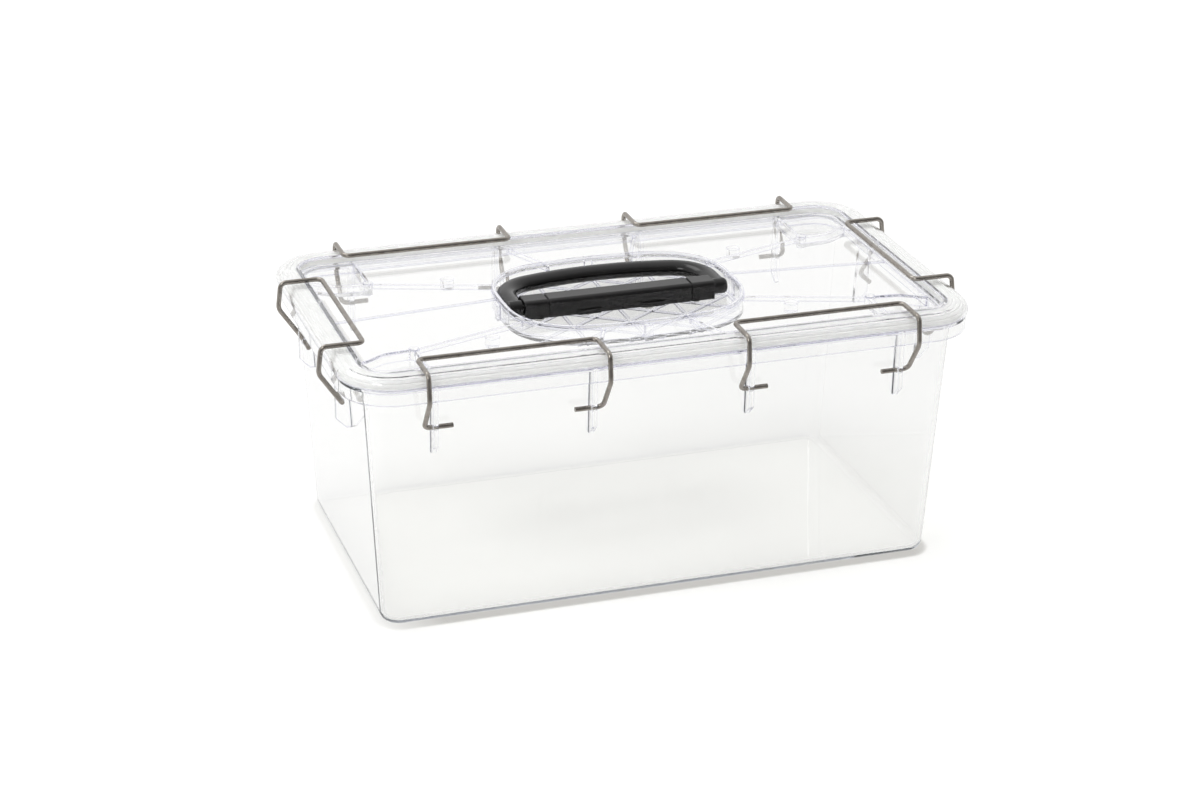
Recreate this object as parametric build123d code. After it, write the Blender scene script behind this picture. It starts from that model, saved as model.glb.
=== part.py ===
from build123d import *
import os
from math import atan2, degrees, sqrt

# Clear rigid box with a flat lid, six wire clips and a folding bail handle.
# Millimetres, +Z up, +X along the box; the origin is the middle of the underside.

# Lid: rim band round a lower panel
lid_length = 400.0
lid_width = 226.0
lid_corner = 33.0
rim_band = 15.0
rim_round = 6.0
lid_wall = 2.0
lid_gap = 0.5
panel_thickness = 1.9
lip_height = 5.0
lip_wall = 1.8
lip_clearance = 1.2

# Seal between lid and tub: it carries the lid a little above the tub's flange
seal_height = 5.5
seal_clearance = 0.3
lid_seat_gap = 0.3

# Tub: tapered walls under a flange with a hanging skirt
tub_height = 161.5
tub_wall = 2.5
tub_floor = 3.0
taper_x = 9.0
taper_y = 5.0
base_corner = 12.0
mouth_corner = 12.0
base_round = 6.0
skirt_inset = 1.0
skirt_height = 9.5
skirt_wall = 2.0
flange_reach = 12.0
flange_thickness = 2.4

# Wire clips and the fins that carry them
wire = 3.0
clip_half_span = 55.1
clip_from_end = 101.3
pivot_inset = 9.5
pivot_drop = 36.2
hook_reach = 17.6
knee_height = 21.4
knee_bulge = 2.0
leg_gap = 1.6
bar_gap = 0.5
bar_reach = 7.8
bend_radius = 4.0
knee_radius = 8.0
fin_thickness = 3.0
fin_offset = 6.3
fin_below = 17.8
fin_slant = 6.5
fin_edge = 1.8
hole_clearance = 0.3

# Oval well in the lid
well_end_clearance = 2.2
well_side_clearance = 5.4
well_corner = 41.0
well_end_radius = 263.0
well_side_radius = 267.0
well_depth = 10.2
well_wall = 2.0
well_bead = 1.8

# Corner pockets, bosses and ribs of the lid
pocket_length = 53.0
pocket_width = 56.0
pocket_depth = 6.5
pocket_step = 11.0
pocket_neck = 19.0
pocket_run = 33.0
pocket_round = 14.0
pocket_corner = 4.0
pocket_ease = 1.8
boss_radius = 3.2
boss_rise = 0.6
rib_width = 1.8
rib_height = 3.0
post_x = 96.7
post_y = 50.9
post_radius = 4.4
post_height = 6.0
diagonal_aim = 26.0
side_rib_well = 27.0
side_rib_rim = 44.0
end_rib_well = 10.0
end_rib_height = 1.2
gusset_width = 5.0
gusset_depth = 2.4
lattice_pitch = 37.0
lattice_rise = 25.0
lattice_rib = 1.4
lattice_height = 1.4

# Handle: a bridge with an end cap on each side, and a bail between them
handle_half_length = 62.6
cap_length = 16.0
bridge_depth = 15.5
bridge_height = 11.5
bridge_round = 3.0
handle_edge_round = 0.5
groove = 1.0
foot_x = 21.0
foot_width = 16.0
foot_height = 3.0
foot_depth = 1.6
pivot_height = 5.4
bail_width = 13.0
bail_height = 10.0
bail_leg = 16.0
bail_corner = 24.0
bail_apex = 45.1
bail_leg_offset = 4.4
bail_end_reach = 10.2
bail_end_round = 2.5
bail_gap = 0.6
bail_swing_gap = 0.7
pin_radius = 2.0
pin_length = 15.2
pin_insert = 6.8
pin_clearance = 0.1
pin_fit = 0.02

# Screws that hold the handle, with sealing washers under their heads
screw_radius = 1.5
screw_length = 11.0
screw_head_radius = 3.25
screw_head = 2.2
screw_head_round = 1.1
screw_slot_length = 3.9
screw_slot = 0.9
screw_slot_depth = 1.1
screw_hole_clearance = 0.3
screw_bite = 0.05
screw_tip_room = 0.4
cap_screw_inset = 4.9
washer_radius = 4.6
washer_thickness = 1.2
washer_room = 1.0

# Worked out from the sizes above
half_x = lid_length / 2
half_y = lid_width / 2
panel_bottom = tub_height + lid_seat_gap
panel_top = panel_bottom + panel_thickness
lid_top = tub_height + seal_height + lid_wall
skirt_x = half_x - skirt_inset
skirt_y = half_y - skirt_inset
mouth_x = skirt_x - flange_reach
mouth_y = skirt_y - flange_reach
lip_inset = skirt_inset + flange_reach + tub_wall + lip_clearance
clip_centre = half_x - clip_from_end
pivot_x = half_x - pivot_inset
pivot_y = half_y - pivot_inset
pivot_z = lid_top - pivot_drop
pocket_x = half_x - pocket_length
pocket_y = half_y - pocket_width
pocket_top = panel_top - pocket_depth
pocket_bottom = pocket_top - panel_thickness
floor_top = panel_top - well_depth
floor_bottom = floor_top - panel_thickness
handle_axis = floor_top + pivot_height
washer_bottom = floor_bottom - washer_thickness
cap_start = handle_half_length - cap_length
cap_screw_x = cap_start + cap_screw_inset
bail_leg_x = handle_half_length + bail_leg_offset
bail_end = handle_half_length + bail_end_reach
well_half_length = bail_end + well_end_clearance
well_half_width = bail_apex + bail_width / 2 + well_side_clearance

quarters = [(sx, sy) for sx in (-1, 1) for sy in (-1, 1)]


def clip_seats():
    """For each clip, the middle of its hinge line in plan, and the turn that points it outwards."""
    return {
        "clip_front_left": (-clip_centre, -pivot_y, 180),
        "clip_front_right": (clip_centre, -pivot_y, 180),
        "clip_back_left": (-clip_centre, pivot_y, 0),
        "clip_back_right": (clip_centre, pivot_y, 0),
        "clip_left_end": (-pivot_x, 0, 90),
        "clip_right_end": (pivot_x, 0, -90),
    }


def slab(inset, bottom, top):
    """Level plate with the lid's outline drawn in by inset."""
    outline = RectangleRounded(2 * (half_x - inset), 2 * (half_y - inset), lid_corner - inset)
    return Pos(0, 0, bottom) * extrude(outline, top - bottom)


def oval(grow, bottom, top):
    """Level plate with the well's outline, eight tangent arcs, moved outwards by grow."""
    side_centre = well_half_width - well_side_radius
    end_centre = well_half_length - well_end_radius
    to_side = well_side_radius - well_corner
    to_end = well_end_radius - well_corner
    apart = sqrt(side_centre**2 + end_centre**2)
    along = (to_side**2 - to_end**2 + apart**2) / (2 * apart)
    across = sqrt(to_side**2 - along**2)
    unit_x, unit_y = end_centre / apart, -side_centre / apart
    corner_x = along * unit_x + across * unit_y
    corner_y = side_centre + along * unit_y - across * unit_x
    reach = well_corner + grow
    side_end = (
        corner_x + reach * corner_x / to_side,
        corner_y + reach * (corner_y - side_centre) / to_side,
    )
    end_end = (
        corner_x + reach * (corner_x - end_centre) / to_end,
        corner_y + reach * corner_y / to_end,
    )
    middle = (corner_x + reach * sqrt(0.5), corner_y + reach * sqrt(0.5))
    arcs = Curve()
    for sx, sy in quarters:
        arcs += ThreePointArc(*[(sx * x, sy * y) for x, y in (side_end, middle, end_end)])
    for s in (-1, 1):
        top_point = (0, s * (well_half_width + grow))
        arcs += ThreePointArc((-side_end[0], s * side_end[1]), top_point, (side_end[0], s * side_end[1]))
        far_point = (s * (well_half_length + grow), 0)
        arcs += ThreePointArc((s * end_end[0], -end_end[1]), far_point, (s * end_end[0], end_end[1]))
    return Pos(0, 0, bottom) * extrude(make_face(arcs), top - bottom)


def bar_between(start, end, width, bottom, top):
    """Upright rib from one plan point to another."""
    line = Vector(*end) - Vector(*start)
    middle = (Vector(*end) + Vector(*start)) / 2
    turn = degrees(atan2(line.Y, line.X))
    plate = Rectangle(line.length, width)
    return Pos(middle.X, middle.Y, bottom) * Rot(0, 0, turn) * extrude(plate, top - bottom)


def pocket_outline(grow):
    """Plan of one corner pocket before the lip bounds it, with an S-shaped inner side."""
    far = half_x + grow
    path = FilletPolyline(
        (pocket_x, far),
        (pocket_x, pocket_y),
        (pocket_x + pocket_neck, pocket_y + pocket_ease),
        (pocket_x + pocket_run, pocket_y + pocket_step),
        (far, pocket_y + pocket_step),
        radius=[pocket_corner, pocket_round, pocket_round],
    )
    face = make_face(path + Polyline((far, pocket_y + pocket_step), (far, far), (pocket_x, far)))
    return offset(face, grow, kind=Kind.ARC) if grow else face


def make_lid():
    shell = slab(0, tub_height + lid_gap, lid_top)
    shell = fillet(shell.edges().group_by(Axis.Z)[-1], rim_round)
    hollow = slab(lid_wall, tub_height - lid_wall, tub_height + seal_height)
    hollow = fillet(hollow.edges().group_by(Axis.Z)[-1], rim_round - lid_wall)
    lid = shell - hollow + slab(rim_band - lid_wall, panel_bottom, lid_top)
    lid -= slab(rim_band, panel_top, lid_top)
    lip_bottom = tub_height - lip_height
    lid += slab(lip_inset, lip_bottom, panel_bottom) - slab(lip_inset + lip_wall, lip_bottom, panel_bottom)
    lid += oval(well_wall, floor_bottom, panel_top + well_bead)

    lip_outside = slab(lip_inset, pocket_bottom, panel_top)
    lip_inside = slab(lip_inset + lip_wall, pocket_top, panel_top)
    pocket_walls = extrude(pocket_outline(well_wall), panel_top - pocket_bottom)
    pocket_space = extrude(pocket_outline(0), pocket_depth)
    rib_bottom = panel_bottom - rib_height
    pockets = []
    for sx, sy in quarters:
        outside = mirrored(Pos(0, 0, pocket_bottom) * pocket_walls, sx, sy) & lip_outside
        pockets.append(mirrored(Pos(0, 0, pocket_top) * pocket_space, sx, sy) & lip_inside)
        lid += outside
        corner = (sx * pocket_x, sy * pocket_y)
        lid += Pos(*corner, pocket_bottom) * Cylinder(
            boss_radius, panel_top + boss_rise - pocket_bottom, align=standing
        )
        lid += bar_between((-sx * diagonal_aim, 0), corner, rib_width, rib_bottom, panel_bottom)
        start = (sx * side_rib_well, sy * (well_half_width - well_wall))
        end = (sx * side_rib_rim, sy * (half_y - lip_inset - lip_wall / 2))
        lid += bar_between(start, end, rib_width, rib_bottom, panel_bottom)
        lid += Pos(sx * post_x, sy * post_y, panel_bottom - post_height) * Cylinder(
            post_radius, post_height, align=standing
        )
    for s in (-1, 1):
        edge = s * (well_half_width + well_wall)
        gusset = Box(gusset_width, 2 * gusset_depth, panel_bottom - floor_bottom, align=standing)
        lid += Pos(0, edge, floor_bottom) * gusset
        edge = s * (well_half_length + well_wall)
        gusset = Box(2 * gusset_depth, gusset_width, panel_bottom - floor_bottom, align=standing)
        lid += Pos(edge, 0, floor_bottom) * gusset
        start = (s * (half_x - lip_inset - lip_wall / 2), 0)
        end = (s * (well_half_length - well_wall), end_rib_well)
        lid += bar_between(start, end, rib_width, panel_bottom - end_rib_height, panel_bottom)
    lid += make_lattice()
    lid -= oval(0, floor_top, lid_top)
    for pocket in pockets:
        lid -= pocket
    for x in screw_places():
        lid -= Pos(x, 0, floor_bottom) * Cylinder(
            screw_radius + screw_hole_clearance, panel_thickness, align=standing
        )
    return lid


def make_lattice():
    """Crossing ribs under the well's floor, left out round the screws."""
    bottom = floor_bottom - lattice_height
    low = -well_half_width
    ribs = []
    count = int(well_half_length // lattice_pitch)
    for k in range(-count, count + 1):
        x = k * lattice_pitch
        ribs.append(bar_between((x, low), (x, -low), lattice_rib, bottom, floor_bottom))
    slope = lattice_rise / lattice_pitch
    run = 2 * well_half_length
    for k in range(-2 * count, 2 * count + 1):
        x = k * lattice_pitch
        for lean in (-slope, slope):
            ribs.append(
                bar_between((x - run, -run * lean), (x + run, run * lean), lattice_rib, bottom, floor_bottom)
            )
    lattice = ribs[0].fuse(*ribs[1:]) & oval(0, bottom, floor_bottom)
    for x in screw_places():
        lattice -= Pos(x, 0, bottom) * Cylinder(
            washer_radius + washer_room, lattice_height, align=standing
        )
    return lattice


def mirrored(shape, sx, sy):
    """Copy of a shape from the +X +Y quarter in the quarter with these signs."""
    if sx < 0:
        shape = mirror(shape, Plane.YZ)
    if sy < 0:
        shape = mirror(shape, Plane.XZ)
    return shape


def make_seal():
    seal = slab(lid_wall + seal_clearance, tub_height, tub_height + seal_height)
    seal = fillet(seal.edges().group_by(Axis.Z)[-1], rim_round - lid_wall)
    return seal - slab(rim_band - lid_wall - seal_clearance, tub_height, tub_height + seal_height)


def wall_block(inset, bottom, top):
    """Tapered block with the tub's outline, drawn in by inset, between two levels."""
    outlines = []
    for level in (bottom, top):
        share = level / tub_height
        length = 2 * (mouth_x - taper_x * (1 - share) - inset)
        width = 2 * (mouth_y - taper_y * (1 - share) - inset)
        corner = base_corner + (mouth_corner - base_corner) * share - inset
        outlines.append(Pos(0, 0, level) * RectangleRounded(length, width, corner))
    return loft(outlines, ruled=True)


def make_fin():
    """Plate with a closed round hole for one hook; drawn outwards and upwards from the hole."""
    wall_gap = skirt_inset + flange_reach - pivot_inset
    lean = max(taper_x, taper_y) * (1 - (pivot_z - fin_below) / tub_height)
    root = -(wall_gap + lean + tub_wall / 2)
    edge = wire / 2 + hole_clearance + fin_edge
    top = pivot_drop - (lid_top - tub_height) - flange_thickness / 2
    outline = Polyline(
        (root, -fin_below),
        (edge - fin_slant, -fin_below),
        (edge, fin_slant - fin_below),
        (edge, top),
        (root, top),
        close=True,
    )
    plate = make_face(outline) - Circle(wire / 2 + hole_clearance)
    return Pos(-fin_thickness / 2, 0, 0) * extrude(Plane.YZ * plate, fin_thickness)


def make_tub():
    tub = wall_block(0, 0, tub_height)
    tub = fillet(tub.edges().group_by(Axis.Z)[0], base_round)
    skirt_bottom = tub_height - skirt_height
    flange = slab(skirt_inset, skirt_bottom, tub_height)
    flange -= slab(skirt_inset + skirt_wall, skirt_bottom, tub_height - flange_thickness)
    tub += flange
    fin = make_fin()
    for x, y, turn in clip_seats().values():
        for side in (-1, 1):
            reach = side * (clip_half_span - fin_offset)
            tub += Pos(x, y, pivot_z) * Rot(0, 0, turn) * Pos(reach, 0, 0) * fin
    inside = wall_block(tub_wall, tub_floor, tub_height)
    inside = fillet(inside.edges().group_by(Axis.Z)[0], base_round - tub_wall)
    return tub - inside


def make_clip():
    """Wire bent into a frame, drawn outwards and upwards from the middle of its hinge line."""
    bar_z = pivot_drop + bar_gap + wire / 2
    bar_out = pivot_inset - rim_band - bar_reach
    shoulder = pivot_inset + wire / 2 + leg_gap
    leg = [
        (clip_half_span - hook_reach, 0, 0),
        (clip_half_span, 0, 0),
        (clip_half_span, shoulder + knee_bulge, knee_height),
        (clip_half_span, shoulder, bar_z),
        (clip_half_span, bar_out, bar_z),
    ]
    other_leg = [(-x, y, z) for x, y, z in reversed(leg)]
    bends = [bend_radius, knee_radius, bend_radius, bend_radius]
    path = FilletPolyline(*leg, *other_leg, radius=bends + bends[::-1])
    section = Plane(origin=path @ 0, z_dir=path % 0) * Circle(wire / 2)
    return sweep(section, path=path)


def screw_places():
    return [-cap_screw_x, -foot_x, foot_x, cap_screw_x]


def handle_block(start, end, inset):
    """Block with rounded top edges between two stations along the handle."""
    depth = bridge_depth - 2 * inset
    height = bridge_height - inset
    block = Pos((start + end) / 2, 0, floor_top) * Box(end - start, depth, height, align=standing)
    top = block.edges().filter_by(Axis.X).group_by(Axis.Z)[-1]
    return fillet(top, bridge_round - inset)


def soften_ends(block):
    """Handle block with its end edges rounded over, except along its foot."""
    edges = []
    for face in block.faces().filter_by(Axis.X):
        for level in face.edges().group_by(Axis.Z)[1:]:
            edges += level
    return fillet(edges, handle_edge_round)


def screw_pilot(x):
    depth = washer_bottom + screw_length + screw_tip_room - floor_top
    return Pos(x, 0, floor_top) * Cylinder(screw_radius + screw_bite, depth, align=standing)


def make_bridge():
    bridge = soften_ends(handle_block(-cap_start, cap_start, 0))
    for x in (-foot_x, foot_x):
        foot = Box(foot_width, bridge_depth + 2 * foot_depth, foot_height, align=standing)
        foot = fillet(foot.edges().filter_by(Axis.Z), foot_depth)
        bridge += Pos(x, 0, floor_top) * foot
        bridge -= screw_pilot(x)
    return bridge


def make_cap():
    """End cap on the +X side, with a blind hole for the pivot pin."""
    cap = soften_ends(handle_block(cap_start + groove, handle_half_length, 0))
    cap += handle_block(cap_start, cap_start + groove, groove)
    hole_end = handle_half_length - pin_insert - pin_clearance
    hole = Cylinder(pin_radius + pin_clearance, handle_half_length - hole_end, align=standing)
    cap -= Pos(hole_end, 0, handle_axis) * Rot(0, 90, 0) * hole
    return cap - screw_pilot(cap_screw_x)


def make_pin():
    start = handle_half_length - pin_insert
    return Pos(start, 0, handle_axis) * Rot(0, 90, 0) * Cylinder(pin_radius, pin_length, align=standing)


def make_bail():
    """Arched grip on two straight legs whose ends are cut back to pass the bridge."""
    centre_x = bail_leg_x - bail_corner
    rise = bail_apex - bail_leg
    top_radius = (rise**2 + centre_x**2 - bail_corner**2) / (2 * (rise - bail_corner))
    middle_y = bail_apex - top_radius
    stretch = top_radius / (top_radius - bail_corner)
    join = (centre_x * stretch, middle_y + (bail_leg - middle_y) * stretch)
    lean = sqrt(0.5) * bail_corner
    bend = (centre_x + lean, bail_leg + lean)
    path = Line((-bail_leg_x, 0), (-bail_leg_x, bail_leg))
    path += ThreePointArc((-bail_leg_x, bail_leg), (-bend[0], bend[1]), (-join[0], join[1]))
    path += ThreePointArc((-join[0], join[1]), (0, bail_apex), join)
    path += ThreePointArc(join, bend, (bail_leg_x, bail_leg))
    path += Line((bail_leg_x, bail_leg), (bail_leg_x, 0))
    section = Plane(origin=(-bail_leg_x, 0, 0), z_dir=(0, 1, 0), x_dir=(1, 0, 0)) * Ellipse(
        bail_width / 2, bail_height / 2
    )
    bail = sweep(section, path=path)
    inner_face = handle_half_length + bail_gap
    for s in (-1, 1):
        end = Rot(0, 90, 0) * Cylinder(bail_height / 2, bail_end - inner_face)
        outer = end.edges().group_by(Axis.X)[-1 if s > 0 else 0]
        bail += Pos(s * (bail_end + inner_face) / 2, 0, 0) * fillet(outer, bail_end_round)
    swing = sqrt((bridge_depth / 2) ** 2 + max(pivot_height, bridge_height - pivot_height) ** 2)
    room = Rot(0, 90, 0) * Cylinder(swing + bail_swing_gap, 2 * inner_face)
    bail -= room
    pin_end = handle_half_length - pin_insert + pin_length + pin_fit
    bail -= Rot(0, 90, 0) * Cylinder(pin_radius + pin_fit, 2 * pin_end)
    return Pos(0, 0, handle_axis) * bail


def make_screw():
    """Pan head screw standing head down, with a cross recess, its head's top face at zero."""
    screw = Pos(0, 0, -screw_head) * Cylinder(screw_head_radius, screw_head, align=standing)
    screw = fillet(screw.edges().group_by(Axis.Z)[0], screw_head_round)
    screw += Cylinder(screw_radius, screw_length, align=standing)
    for turn in (0, 90):
        slot = Box(screw_slot_length, screw_slot, screw_slot_depth, align=standing)
        screw -= Pos(0, 0, -screw_head) * Rot(0, 0, turn) * slot
    return screw


def make_washer():
    ring = Cylinder(washer_radius, washer_thickness, align=standing)
    return ring - Cylinder(screw_radius + screw_bite, washer_thickness, align=standing)


standing = (Align.CENTER, Align.CENTER, Align.MIN)
nodes = {"tub": make_tub(), "lid": make_lid(), "lid_seal": make_seal()}

clip = make_clip()
for name, (x, y, turn) in clip_seats().items():
    nodes[name] = Pos(x, y, pivot_z) * Rot(0, 0, turn) * clip

nodes["handle_bail"] = make_bail()
nodes["handle_bridge"] = make_bridge()
cap = make_cap()
pin = make_pin()
nodes["handle_cap_right"] = cap
nodes["handle_cap_left"] = mirror(cap, Plane.YZ)
nodes["pivot_pin_right"] = pin
nodes["pivot_pin_left"] = mirror(pin, Plane.YZ)

screw = make_screw()
washer = make_washer()
screw_names = ("left_cap", "bridge_left", "bridge_right", "right_cap")
for name, x in zip(screw_names, screw_places()):
    nodes["screw_" + name] = Pos(x, 0, washer_bottom) * screw
    nodes["washer_" + name] = Pos(x, 0, washer_bottom) * washer

os.makedirs("parts", exist_ok=True)
for name, shape in nodes.items():
    export_step(shape, f"parts/{name}.step")
    print(name, round(shape.volume, 1), [round(v, 2) for v in shape.bounding_box().size])
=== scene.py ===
from math import cos, pi, radians, sin

import bpy
import numpy as np
from mathutils import Matrix, Vector


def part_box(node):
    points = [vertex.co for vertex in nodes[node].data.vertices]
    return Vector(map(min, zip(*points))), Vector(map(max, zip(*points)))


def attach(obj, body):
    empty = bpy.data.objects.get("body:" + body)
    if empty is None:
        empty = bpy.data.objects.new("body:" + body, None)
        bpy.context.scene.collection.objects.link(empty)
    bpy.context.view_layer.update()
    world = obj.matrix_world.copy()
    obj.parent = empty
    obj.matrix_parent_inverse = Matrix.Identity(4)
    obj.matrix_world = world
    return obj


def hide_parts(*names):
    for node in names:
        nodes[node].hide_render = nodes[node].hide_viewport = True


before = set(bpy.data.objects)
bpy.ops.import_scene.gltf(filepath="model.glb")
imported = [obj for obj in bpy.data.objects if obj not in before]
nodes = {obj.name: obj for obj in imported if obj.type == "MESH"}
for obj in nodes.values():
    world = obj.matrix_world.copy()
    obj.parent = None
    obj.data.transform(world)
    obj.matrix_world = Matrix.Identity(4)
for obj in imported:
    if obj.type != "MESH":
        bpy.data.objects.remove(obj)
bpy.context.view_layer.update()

# Clear carry container on a white table. Metres, in the frame's own axes: +X along the box, +Z up.

WHITE = (1.0, 1.0, 1.0)

# Camera: the photograph's viewing angle
VIEW_TURN = radians(-17.71)
VIEW_TILT = radians(23.61)
VIEW_ROLL = radians(0.21)
VIEW_DISTANCE = 1.7924
VIEW_TARGET = (-0.03514, 0.0, 0.08475)
VIEW_NEAREST = 0.05
VIEW_FARTHEST = 50.0
LENS = 84.68
SENSOR = 36.0
SHIFT_RIGHT = 0.0303
SHIFT_UP = 0.0099

# Floor: the white table
FLOOR_DROP = 0.0004
FLOOR_SIZE = 14.0
FLOOR_COLOUR = (0.86, 0.86, 0.85)

# Light of its own that the floor shows: to the camera, by the distance from the box, and through plastic
FLOOR_DISTANCES = (0.8, 3.0)
FLOOR_GLOW_SEEN = (0.22, 1.0)
FLOOR_GLOW_THROUGH = 0.08

# Brightness of the floor where it is mirrored, by the place along Y
FLOOR_FADE = (-0.75, -0.05)
FLOOR_MIRRORED = (0.35, 1.0)

# Painted shadow: a dark strip painted on the floor where the box stands, seen by the camera alone; its
# reach, its mask by the open sky, and its start and end along X
CONTACT_SHADE = (0.58, 0.57, 0.55)
CONTACT_REACH = 0.007
CONTACT_SAMPLES = 8
CONTACT_OPEN_SKY = (0.98, 0.75)
CONTACT_START = (-0.19, -0.14)
CONTACT_END = (0.17, 0.195)
CONTACT_LEFT_OVER = 0.4

# Room as it is mirrored: its brightness, by the direction along Y
ROOM_FRONT = (-0.75, 0.1)
ROOM_MIRRORED = (0.25, 1.0)

# Room as it is seen through plastic: its colours, by the direction along Z
ROOM_LOW = 0.6
ROOM_LOW_COLOUR = (1.0, 1.0, 0.985)
ROOM_HIGH = 0.9
ROOM_HIGH_COLOUR = (0.6, 0.6, 0.7)

# Light that the room gives
ROOM_LIGHT = 0.6

# Gasket in the lid's rim: its outline's corner, its width, the play round it and its grooves
GASKET_CORNER = 0.0307
GASKET_WIDTH = 0.0104
GASKET_PLAY = 0.00005
GASKET_SHOULDER = 0.004
GASKET_STEP = 0.00025
GROOVE_PITCH = 0.0024
GROOVE_DEPTH = 0.00045
GROOVE_WIDTH = 0.0011
GROOVE_SLOPE = 0.0003
CORNER_STEPS = 17
CREASE_ANGLE = radians(35)

# Light is followed this far, because it runs a long way inside clear plates
MOST_BOUNCES = 128

# Sockets for colours of a Mix node: its two inputs and its output
MIX_FIRST = 6
MIX_SECOND = 7
MIX_RESULT = 2

# Noise that varies the finishes: its layers, the strength of the finer ones, and the part that is used
NOISE_DETAIL = 4.0
NOISE_ROUGHNESS = 0.6
NOISE_RANGE = (0.35, 0.65)

# Painted shade: a darker lavender line painted along each edge of the clear plastic, in place of the dark
# lines that light bent in the edges gives; its mask goes from 0 to 1 over the alignment
TUB_EDGE_WIDTH = 0.0009
LID_EDGE_WIDTH = 0.0014
TUB_EDGE_SHADE = (0.60, 0.60, 0.74)
LID_EDGE_SHADE = (0.60, 0.60, 0.75)
EDGE_SAMPLES = 6
EDGE_ALIGNMENT = (0.995, 0.86)

# What the clear plastic takes from the light inside it
TUB_ABSORBS = (0.50, 0.53, 0.56)
TUB_DENSITY = 6.0
LID_ABSORBS = (0.45, 0.46, 0.60)
LID_DENSITY = 2.2

# How the clear plastic bends light, and its film for the lamps' rays, met squarely and grazed
PLASTIC_IOR = 1.52
FILM_SQUARE = (0.993, 0.993, 0.986)
FILM_GRAZED = (0.08, 0.08, 0.10)
FILM_POWER = 9.0

# How the gasket's rubber bends light, the share that goes into it, and its film for the lamps' rays
RUBBER_IOR = 1.2
RUBBER_CLEARNESS = 0.4
RUBBER_FILM = (0.78, 0.78, 0.77)

# Two colours of each finish, which its clouds lie between
RUBBER_COLOURS = ((0.955, 0.957, 0.957), (0.98, 0.982, 0.982))
WIRE_COLOURS = ((0.27, 0.245, 0.22), (0.34, 0.315, 0.285))
HANDLE_COLOURS = ((0.004, 0.0037, 0.0037), (0.008, 0.0075, 0.0075))
FASTENER_COLOURS = ((0.50, 0.49, 0.47), (0.62, 0.61, 0.59))
WASHER_COLOURS = ((0.035, 0.035, 0.037), (0.055, 0.055, 0.058))

# Strength of the handle's mirroring, a little below the usual 0.5
HANDLE_SPECULAR = 0.4


def group_socket(tree, name, direction, kind):
    tree.interface.new_socket(name=name, in_out=direction, socket_type=kind)


def add(tree, kind, place=(0, 0), **settings):
    """New node of this kind; settings are the node's own properties."""
    node = tree.nodes.new(kind)
    node.location = place
    for name, value in settings.items():
        setattr(node, name, value)
    return node


def link(tree, source, target):
    tree.links.new(source, target)


def carried_over(tree, value, old_range, new_range, place, interpolation="LINEAR"):
    """A value carried over from one range to another, and kept inside it."""
    node = add(tree, "ShaderNodeMapRange", place, interpolation_type=interpolation)
    node.inputs["From Min"].default_value = old_range[0]
    node.inputs["From Max"].default_value = old_range[1]
    node.inputs["To Min"].default_value = new_range[0]
    node.inputs["To Max"].default_value = new_range[1]
    link(tree, value, node.inputs["Value"])
    return node.outputs["Result"]


def worked_out(tree, operation, terms, place):
    """Result of this operation; each term is a number or another node's output."""
    node = add(tree, "ShaderNodeMath", place, operation=operation)
    for term, socket in zip(terms, node.inputs):
        if isinstance(term, float):
            socket.default_value = term
        else:
            link(tree, term, socket)
    return node.outputs["Value"]


def colour_between(tree, mask, first, second, place):
    """Colour that goes from first to second with the mask."""
    node = add(tree, "ShaderNodeMix", place, data_type="RGBA")
    node.inputs[MIX_FIRST].default_value = (*first, 1)
    node.inputs[MIX_SECOND].default_value = (*second, 1)
    link(tree, mask, node.inputs["Factor"])
    return node.outputs[MIX_RESULT]


def chosen(tree, mask, unmasked, masked, place):
    """Shader that is the first of the two where the mask is 0, and the second where it is 1."""
    node = add(tree, "ShaderNodeMixShader", place)
    link(tree, mask, node.inputs["Fac"])
    link(tree, unmasked, node.inputs[1])
    link(tree, masked, node.inputs[2])
    return node.outputs["Shader"]


def make_variation_group():
    """Noise in layers, mapped between two values: value = low + (high - low) * smooth(noise)."""
    tree = bpy.data.node_groups.new("surface_variation", "ShaderNodeTree")
    group_socket(tree, "Vector", "INPUT", "NodeSocketVector")
    group_socket(tree, "Scale", "INPUT", "NodeSocketFloat")
    group_socket(tree, "Low", "INPUT", "NodeSocketFloat")
    group_socket(tree, "High", "INPUT", "NodeSocketFloat")
    group_socket(tree, "Value", "OUTPUT", "NodeSocketFloat")
    start = add(tree, "NodeGroupInput", (-600, 0))
    end = add(tree, "NodeGroupOutput", (400, 0))
    noise = add(tree, "ShaderNodeTexNoise", (-300, 0))
    noise.inputs["Detail"].default_value = NOISE_DETAIL
    noise.inputs["Roughness"].default_value = NOISE_ROUGHNESS
    spread = add(tree, "ShaderNodeMapRange", (0, 0), interpolation_type="SMOOTHSTEP")
    spread.inputs["From Min"].default_value = NOISE_RANGE[0]
    spread.inputs["From Max"].default_value = NOISE_RANGE[1]
    link(tree, start.outputs["Vector"], noise.inputs["Vector"])
    link(tree, start.outputs["Scale"], noise.inputs["Scale"])
    link(tree, noise.outputs["Fac"], spread.inputs["Value"])
    link(tree, start.outputs["Low"], spread.inputs["To Min"])
    link(tree, start.outputs["High"], spread.inputs["To Max"])
    link(tree, spread.outputs["Result"], end.inputs["Value"])
    return tree


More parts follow.
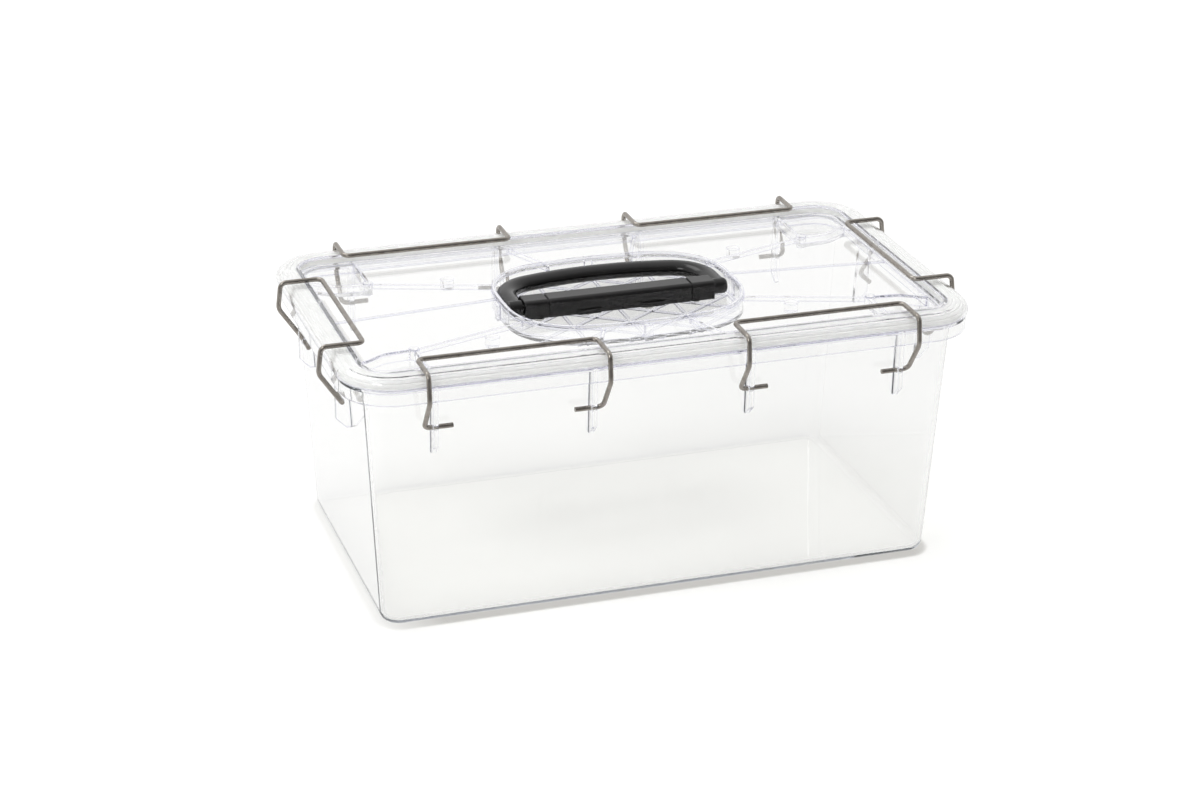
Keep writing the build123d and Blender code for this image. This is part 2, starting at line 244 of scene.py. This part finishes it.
def make_edge_group():
    """Mask of sharp edges, 0 on a flat face and 1 at an edge.

    It compares the true normal with one averaged over a small radius: their dot product falls from 1
    towards 0.7 at a square edge, and the mask rises as it falls.
    """
    tree = bpy.data.node_groups.new("edge_lines", "ShaderNodeTree")
    group_socket(tree, "Width", "INPUT", "NodeSocketFloat")
    group_socket(tree, "Mask", "OUTPUT", "NodeSocketFloat")
    start = add(tree, "NodeGroupInput", (-600, 0))
    end = add(tree, "NodeGroupOutput", (600, 0))
    rounded = add(tree, "ShaderNodeBevel", (-400, 0), samples=EDGE_SAMPLES)
    plain = add(tree, "ShaderNodeNewGeometry", (-400, -200))
    product = add(tree, "ShaderNodeVectorMath", (-100, 0), operation="DOT_PRODUCT")
    link(tree, start.outputs["Width"], rounded.inputs["Radius"])
    link(tree, rounded.outputs["Normal"], product.inputs[0])
    link(tree, plain.outputs["Normal"], product.inputs[1])
    alignment = product.outputs["Value"]
    mask = carried_over(tree, alignment, EDGE_ALIGNMENT, (0, 1), (200, 0), "SMOOTHSTEP")
    link(tree, mask, end.inputs["Mask"])
    return tree


def start_material(name):
    """New node material, with its shader, its output and its Object coordinates."""
    material = bpy.data.materials.new(name)
    material.use_nodes = True
    tree = material.node_tree
    tree.nodes.clear()
    output = add(tree, "ShaderNodeOutputMaterial", (900, 0))
    shader = add(tree, "ShaderNodeBsdfPrincipled", (400, 0))
    place = add(tree, "ShaderNodeTexCoord", (-900, 0))
    link(tree, shader.outputs["BSDF"], output.inputs["Surface"])
    return material, tree, shader, output, place.outputs["Object"]


def varied(tree, coordinates, scale, low, high, place):
    """A value that varies over the surface between low and high."""
    node = add(tree, "ShaderNodeGroup", place, node_tree=variation)
    node.inputs["Scale"].default_value = scale
    node.inputs["Low"].default_value = low
    node.inputs["High"].default_value = high
    link(tree, coordinates, node.inputs["Vector"])
    return node.outputs["Value"]


def cloudy(tree, shader, coordinates, scale, colours):
    """Base colour in clouds between two colours."""
    clouds = varied(tree, coordinates, scale, 0.0, 1.0, (-300, 200))
    link(tree, colour_between(tree, clouds, *colours, (0, 200)), shader.inputs["Base Color"])


def uneven(tree, shader, coordinates, scale, low, high):
    """Roughness that varies between low and high."""
    link(tree, varied(tree, coordinates, scale, low, high, (-300, 0)), shader.inputs["Roughness"])


def grainy(tree, shader, coordinates, scale, strength, depth):
    """Bump of a fine grain."""
    grain = varied(tree, coordinates, scale, 0.0, 1.0, (-300, -300))
    bump = add(tree, "ShaderNodeBump", (0, -300))
    bump.inputs["Strength"].default_value = strength
    bump.inputs["Distance"].default_value = depth
    link(tree, grain, bump.inputs["Height"])
    link(tree, bump.outputs["Normal"], shader.inputs["Normal"])


def make_clear_plastic(name, edge_width, edge_shade, absorbs, density):
    """Clear moulded plastic, with painted shade along its edges.

    Shadow rays and diffuse rays meet a film in its place, clear where they meet it squarely and dark
    where they graze it, so that the lamps light what lies inside and behind.
    """
    material, tree, shader, output, coordinates = start_material(name)
    shader.inputs["IOR"].default_value = PLASTIC_IOR
    shader.inputs["Transmission Weight"].default_value = 1.0
    lines = add(tree, "ShaderNodeGroup", (-300, 300), node_tree=edges)
    lines.inputs["Width"].default_value = edge_width
    # Painted shade: the base colour, which also tints the light that passes, darkens to a lavender line
    # along each edge
    edge_shaded_colour = colour_between(tree, lines.outputs["Mask"], WHITE, edge_shade, (0, 300))
    link(tree, edge_shaded_colour, shader.inputs["Base Color"])
    uneven(tree, shader, coordinates, scale=30.0, low=0.0, high=0.015)
    facing = add(tree, "ShaderNodeLayerWeight", (-300, 700))
    grazed = worked_out(tree, "POWER", (facing.outputs["Facing"], FILM_POWER), (-100, 700))
    shade = colour_between(tree, grazed, FILM_SQUARE, FILM_GRAZED, (100, 700))
    film = add(tree, "ShaderNodeBsdfTransparent", (400, 300))
    link(tree, shade, film.inputs["Color"])
    path = add(tree, "ShaderNodeLightPath", (100, 500))
    rays = (path.outputs["Is Shadow Ray"], path.outputs["Is Diffuse Ray"])
    either = worked_out(tree, "MAXIMUM", rays, (300, 500))
    surface = chosen(tree, either, shader.outputs["BSDF"], film.outputs["BSDF"], (650, 100))
    link(tree, surface, output.inputs["Surface"])
    volume = add(tree, "ShaderNodeVolumeAbsorption", (650, -200))
    volume.inputs["Color"].default_value = (*absorbs, 1)
    volume.inputs["Density"].default_value = density
    link(tree, volume.outputs["Volume"], output.inputs["Volume"])
    return material


def make_gasket_rubber():
    """Milky translucent rubber, which shadow rays go through as through a film."""
    material, tree, shader, output, coordinates = start_material("milky_rubber")
    cloudy(tree, shader, coordinates, scale=25.0, colours=RUBBER_COLOURS)
    uneven(tree, shader, coordinates, scale=60.0, low=0.3, high=0.42)
    shader.inputs["Transmission Weight"].default_value = RUBBER_CLEARNESS
    shader.inputs["IOR"].default_value = RUBBER_IOR
    film = add(tree, "ShaderNodeBsdfTransparent", (400, 300))
    film.inputs["Color"].default_value = (*RUBBER_FILM, 1)
    path = add(tree, "ShaderNodeLightPath", (400, 600))
    shadow = path.outputs["Is Shadow Ray"]
    surface = chosen(tree, shadow, shader.outputs["BSDF"], film.outputs["BSDF"], (650, 100))
    link(tree, surface, output.inputs["Surface"])
    return material


def make_wire_steel():
    """Drawn stainless wire, satin and slightly brown."""
    material, tree, shader, _, coordinates = start_material("drawn_wire")
    shader.inputs["Metallic"].default_value = 1.0
    cloudy(tree, shader, coordinates, scale=180.0, colours=WIRE_COLOURS)
    uneven(tree, shader, coordinates, scale=400.0, low=0.2, high=0.27)
    grainy(tree, shader, coordinates, scale=1500.0, strength=0.1, depth=0.00002)
    return material


def make_handle_plastic():
    """Black moulded plastic with a fine satin grain."""
    material, tree, shader, _, coordinates = start_material("black_plastic")
    cloudy(tree, shader, coordinates, scale=90.0, colours=HANDLE_COLOURS)
    uneven(tree, shader, coordinates, scale=120.0, low=0.17, high=0.24)
    shader.inputs["Specular IOR Level"].default_value = HANDLE_SPECULAR
    grainy(tree, shader, coordinates, scale=2500.0, strength=0.04, depth=0.00001)
    return material


def make_fastener_steel():
    """Plain bright steel of pins and screws."""
    material, tree, shader, _, coordinates = start_material("bright_steel")
    shader.inputs["Metallic"].default_value = 1.0
    cloudy(tree, shader, coordinates, scale=220.0, colours=FASTENER_COLOURS)
    uneven(tree, shader, coordinates, scale=500.0, low=0.2, high=0.32)
    return material


def make_washer_rubber():
    """Dark rubber of the sealing washers."""
    material, tree, shader, _, coordinates = start_material("dark_rubber")
    cloudy(tree, shader, coordinates, scale=300.0, colours=WASHER_COLOURS)
    uneven(tree, shader, coordinates, scale=300.0, low=0.55, high=0.7)
    return material


def starting_with(*starts):
    """Names of the CAD nodes that start with one of these."""
    return [name for name in nodes if name.startswith(starts)]


def finish_with(material, names):
    """Give the CAD nodes of these names the material, and no other."""
    for name in names:
        piece = nodes[name]
        piece.data.materials.clear()
        piece.data.materials.append(material)


def gasket_section(height):
    """Closed outline of the gasket's section, as distances in from its outer side and up from its foot.

    A point at the distance s along the outline goes up the outer side, round a quarter circle and over
    the top. It is sunk square to the outline by the groove depth times a trapezoid wave of s, so that
    long grooves run round the gasket. The inner side and the foot are plain.
    """
    side = height - GASKET_SHOULDER
    arc = GASKET_SHOULDER * pi / 2
    top = GASKET_WIDTH - 2 * GASKET_PLAY - GASKET_SHOULDER
    s = np.arange(0.0, side + arc + top, GASKET_STEP)
    turn = np.clip((s - side) / GASKET_SHOULDER, 0.0, pi / 2)
    inset = GASKET_SHOULDER * (1 - np.cos(turn)) + np.clip(s - side - arc, 0.0, None)
    level = np.clip(s, 0.0, side) + GASKET_SHOULDER * np.sin(turn)
    from_middle = np.abs(np.mod(s, GROOVE_PITCH) - GROOVE_PITCH / 2)
    sunk = GROOVE_DEPTH * np.clip((GROOVE_WIDTH / 2 - from_middle) / GROOVE_SLOPE, 0.0, 1.0)
    inset = GASKET_PLAY + inset + sunk * np.cos(turn)
    level = level - sunk * np.sin(turn)
    inner = GASKET_WIDTH - GASKET_PLAY
    return np.append(inset, [inner, inner]), np.append(level, [height, 0.0])


def tube_faces(around, along):
    """Quads of a ring of closed sections: `along` sections of `around` points, the last met by the first."""
    section, point = np.meshgrid(np.arange(along), np.arange(around), indexing="ij")
    after = (section + 1) % along
    beside = (point + 1) % around
    corners = (
        section * around + point,
        after * around + point,
        after * around + beside,
        section * around + beside,
    )
    return np.stack(corners, axis=-1).reshape(-1, 4)


def make_gasket(material):
    """Gasket: its section is carried round a rounded rectangle.

    On a corner a point is centre + (corner radius - inset) * (cos a, sin a), for a over a quarter turn,
    and the straight sides join the ends of the corners.
    """
    low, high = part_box("lid_seal")
    inset, level = gasket_section(high[2] - low[2] - 2 * GASKET_PLAY)
    quarter = np.linspace(0.0, pi / 2, CORNER_STEPS)
    sections = []
    for turn, (sx, sy) in enumerate(((1, 1), (-1, 1), (-1, -1), (1, -1))):
        angle = (quarter + turn * pi / 2)[:, None]
        reach = GASKET_CORNER - inset[None, :]
        x = sx * (high[0] - GASKET_CORNER) + reach * np.cos(angle)
        y = sy * (high[1] - GASKET_CORNER) + reach * np.sin(angle)
        z = np.broadcast_to(low[2] + GASKET_PLAY + level, x.shape)
        sections.append(np.stack([x, y, z], axis=-1))
    points = np.concatenate(sections).reshape(-1, 3)
    faces = tube_faces(len(inset), 4 * CORNER_STEPS)
    mesh = bpy.data.meshes.new("gasket")
    mesh.from_pydata(points.tolist(), [], faces.tolist())
    mesh.polygons.foreach_set("use_smooth", np.ones(len(faces), dtype=bool))
    mesh.set_sharp_from_angle(angle=CREASE_ANGLE)
    mesh.materials.append(material)
    gasket = bpy.data.objects.new("gasket", mesh)
    bpy.context.scene.collection.objects.link(gasket)
    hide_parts("lid_seal")
    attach(gasket, "container")


def floor_light(tree, path, coordinates):
    """Matt floor with light of its own: for the camera more of it afar, and a little through plastic."""
    matt = add(tree, "ShaderNodeBsdfDiffuse", (300, 200))
    matt.inputs["Color"].default_value = (*FLOOR_COLOUR, 1)
    distance = add(tree, "ShaderNodeVectorMath", (-700, 800), operation="LENGTH")
    link(tree, coordinates, distance.inputs[0])
    length = distance.outputs["Value"]
    afar = carried_over(tree, length, FLOOR_DISTANCES, FLOOR_GLOW_SEEN, (-500, 800), "SMOOTHSTEP")
    shining = (path.outputs["Is Transmission Ray"], FLOOR_GLOW_THROUGH)
    through = worked_out(tree, "MULTIPLY", shining, (-300, 400))
    strength = worked_out(tree, "MULTIPLY_ADD", (path.outputs["Is Camera Ray"], afar, through), (0, 400))
    glow = add(tree, "ShaderNodeEmission", (300, 400))
    link(tree, strength, glow.inputs["Strength"])
    both = add(tree, "ShaderNodeAddShader", (500, 200))
    link(tree, matt.outputs["BSDF"], both.inputs[0])
    link(tree, glow.outputs["Emission"], both.inputs[1])
    return both.outputs["Shader"]


def painted_contact_shadow(tree, path, along):
    """Mask and shader of the painted shadow, a dark strip painted on the floor, for camera rays alone.

    The mask grows as the box covers more of the sky. It starts to the right of the box's left end,
    where the lamps stand, and is weaker at the right end.
    """
    sky = add(tree, "ShaderNodeAmbientOcclusion", (-600, -700), samples=CONTACT_SAMPLES)
    sky.inputs["Distance"].default_value = CONTACT_REACH
    covered = carried_over(tree, sky.outputs["AO"], CONTACT_OPEN_SKY, (0, 1), (-300, -700))
    starting = carried_over(tree, along, CONTACT_START, (0, 1), (-300, -1000))
    ending = carried_over(tree, along, CONTACT_END, (1, CONTACT_LEFT_OVER), (-300, -1300))
    started = worked_out(tree, "MULTIPLY", (covered, starting), (-100, -800))
    weight = worked_out(tree, "MULTIPLY", (started, ending), (0, -1000))
    mask = worked_out(tree, "MULTIPLY", (path.outputs["Is Camera Ray"], weight), (100, -700))
    # Colour of the painted shadow, given as light of its own
    painted_shadow = add(tree, "ShaderNodeEmission", (300, -600))
    painted_shadow.inputs["Color"].default_value = (*CONTACT_SHADE, 1)
    return mask, painted_shadow.outputs["Emission"]


def make_floor():
    """White table that takes shadows.

    The camera's rays see a little light of its own, more of it far from the box, and a painted shadow, a
    soft dark strip painted where the box stands on it. For mirrored rays it fades towards the front, as a
    table does in front of a dark room.
    """
    half = FLOOR_SIZE / 2
    mesh = bpy.data.meshes.new("floor")
    corners = [(x * half, y * half, -FLOOR_DROP) for x, y in ((-1, -1), (1, -1), (1, 1), (-1, 1))]
    mesh.from_pydata(corners, [], [(0, 1, 2, 3)])
    floor = bpy.data.objects.new("floor", mesh)
    bpy.context.scene.collection.objects.link(floor)
    material = bpy.data.materials.new("white_table")
    material.use_nodes = True
    tree = material.node_tree
    tree.nodes.clear()
    output = add(tree, "ShaderNodeOutputMaterial", (1100, 0))
    path = add(tree, "ShaderNodeLightPath", (-600, 600))
    place = add(tree, "ShaderNodeTexCoord", (-900, -300))
    apart = add(tree, "ShaderNodeSeparateXYZ", (-600, -300))
    link(tree, place.outputs["Object"], apart.inputs["Vector"])
    lit = floor_light(tree, path, place.outputs["Object"])
    # Painted shadow: a soft dark strip painted at the box's foot, shown to the camera in place of the lit
    # floor
    mask, painted_shadow = painted_contact_shadow(tree, path, apart.outputs["X"])
    seen = chosen(tree, mask, lit, painted_shadow, (650, 0))
    depth = apart.outputs["Y"]
    fade = carried_over(tree, depth, FLOOR_FADE, FLOOR_MIRRORED, (-200, -300), "SMOOTHSTEP")
    mirrored = add(tree, "ShaderNodeEmission", (300, -300))
    link(tree, fade, mirrored.inputs["Color"])
    rays = (path.outputs["Is Glossy Ray"], path.outputs["Is Transmission Ray"])
    reflected = worked_out(tree, "GREATER_THAN", rays, (600, 400))
    surface = chosen(tree, reflected, seen, mirrored.outputs["Emission"], (850, 0))
    link(tree, surface, output.inputs["Surface"])
    mesh.materials.append(material)


def make_world():
    """White room: dim overhead for rays that come through, dark in front for rays that are mirrored."""
    world = bpy.data.worlds.new("white_room")
    bpy.context.scene.world = world
    world.use_nodes = True
    tree = world.node_tree
    tree.nodes.clear()
    output = add(tree, "ShaderNodeOutputWorld", (1200, 0))
    direction = add(tree, "ShaderNodeTexCoord", (-900, 0))
    apart = add(tree, "ShaderNodeSeparateXYZ", (-700, 0))
    link(tree, direction.outputs["Generated"], apart.inputs["Vector"])
    overhead = add(tree, "ShaderNodeValToRGB", (-450, 0))
    low, high = overhead.color_ramp.elements
    low.position = ROOM_LOW
    low.color = (*ROOM_LOW_COLOUR, 1)
    high.position = ROOM_HIGH
    high.color = (*ROOM_HIGH_COLOUR, 1)
    link(tree, apart.outputs["Z"], overhead.inputs["Fac"])
    through = add(tree, "ShaderNodeBackground", (0, 200))
    link(tree, overhead.outputs["Color"], through.inputs["Color"])
    depth = apart.outputs["Y"]
    front = carried_over(tree, depth, ROOM_FRONT, ROOM_MIRRORED, (-450, 300), "SMOOTHSTEP")
    mirrored = add(tree, "ShaderNodeBackground", (0, 500))
    link(tree, front, mirrored.inputs["Color"])
    plain = add(tree, "ShaderNodeBackground", (0, -200))
    plain.inputs["Color"].default_value = (*WHITE, 1)
    plain.inputs["Strength"].default_value = ROOM_LIGHT
    white = add(tree, "ShaderNodeBackground", (0, -400))
    white.inputs["Color"].default_value = (*WHITE, 1)
    path = add(tree, "ShaderNodeLightPath", (0, 800))
    so_far = plain.outputs["Background"]
    kinds = (("Is Glossy Ray", mirrored), ("Is Transmission Ray", through), ("Is Camera Ray", white))
    for step, (kind, background) in enumerate(kinds):
        place = (300 + 300 * step, 0)
        so_far = chosen(tree, path.outputs[kind], so_far, background.outputs["Background"], place)
    link(tree, so_far, output.inputs["Surface"])


def make_lamp(name, place, aim, size, power, mirrored=True):
    """Square soft lamp at place that faces aim; where mirrored is False, nothing shows its image."""
    lamp = bpy.data.lights.new(name, "AREA")
    lamp.shape = "SQUARE"
    lamp.size = size
    lamp.energy = power
    holder = bpy.data.objects.new(name, lamp)
    holder.location = place
    direction = Vector(aim) - Vector(place)
    holder.rotation_euler = direction.to_track_quat("-Z", "Y").to_euler()
    holder.visible_glossy = mirrored
    holder.visible_transmission = mirrored
    bpy.context.scene.collection.objects.link(holder)


def make_camera():
    """Camera that looks back at the target from the viewing distance, rolled a little."""
    camera = bpy.data.cameras.new("camera")
    camera.lens = LENS
    camera.sensor_width = SENSOR
    camera.shift_x = SHIFT_RIGHT
    camera.shift_y = SHIFT_UP
    camera.clip_start = VIEW_NEAREST
    camera.clip_end = VIEW_FARTHEST
    level_right = Vector((cos(VIEW_TURN), sin(VIEW_TURN), 0))
    back = Vector(
        (sin(VIEW_TURN) * cos(VIEW_TILT), -cos(VIEW_TURN) * cos(VIEW_TILT), sin(VIEW_TILT))
    )
    level_up = back.cross(level_right)
    right = level_right * cos(VIEW_ROLL) + level_up * sin(VIEW_ROLL)
    up = level_up * cos(VIEW_ROLL) - level_right * sin(VIEW_ROLL)
    eye = Vector(VIEW_TARGET) + back * VIEW_DISTANCE
    holder = bpy.data.objects.new("camera", camera)
    holder.matrix_world = Matrix(
        (
            (right.x, up.x, back.x, eye.x),
            (right.y, up.y, back.y, eye.y),
            (right.z, up.z, back.z, eye.z),
            (0, 0, 0, 1),
        )
    )
    bpy.context.scene.collection.objects.link(holder)
    bpy.context.scene.camera = holder


variation = make_variation_group()
edges = make_edge_group()
tub_plastic = make_clear_plastic(
    "clear_tub_plastic", TUB_EDGE_WIDTH, TUB_EDGE_SHADE, TUB_ABSORBS, TUB_DENSITY
)
lid_plastic = make_clear_plastic(
    "clear_lid_plastic", LID_EDGE_WIDTH, LID_EDGE_SHADE, LID_ABSORBS, LID_DENSITY
)
finish_with(tub_plastic, ["tub"])
finish_with(lid_plastic, ["lid"])
make_gasket(make_gasket_rubber())
finish_with(make_wire_steel(), starting_with("clip_"))
finish_with(make_handle_plastic(), starting_with("handle_"))
finish_with(make_fastener_steel(), starting_with("pivot_pin_", "screw_"))
finish_with(make_washer_rubber(), starting_with("washer_"))

make_floor()
make_world()
make_lamp("top_lamp", place=(-0.22, -0.05, 2.3), aim=(0, 0, 0), size=0.9, power=13.0, mirrored=False)
make_lamp("back_softbox", place=(-0.9, 1.3, 2.2), aim=(0, 0, 0.1), size=1.4, power=16.0)
make_lamp("front_softbox", place=(-1.4, -1.2, 1.6), aim=(0, 0, 0.1), size=0.7, power=9.0)
make_camera()

scene = bpy.context.scene
scene.view_settings.view_transform = "Standard"
scene.cycles.max_bounces = MOST_BOUNCES
scene.cycles.glossy_bounces = MOST_BOUNCES
scene.cycles.transmission_bounces = MOST_BOUNCES
scene.cycles.transparent_max_bounces = MOST_BOUNCES
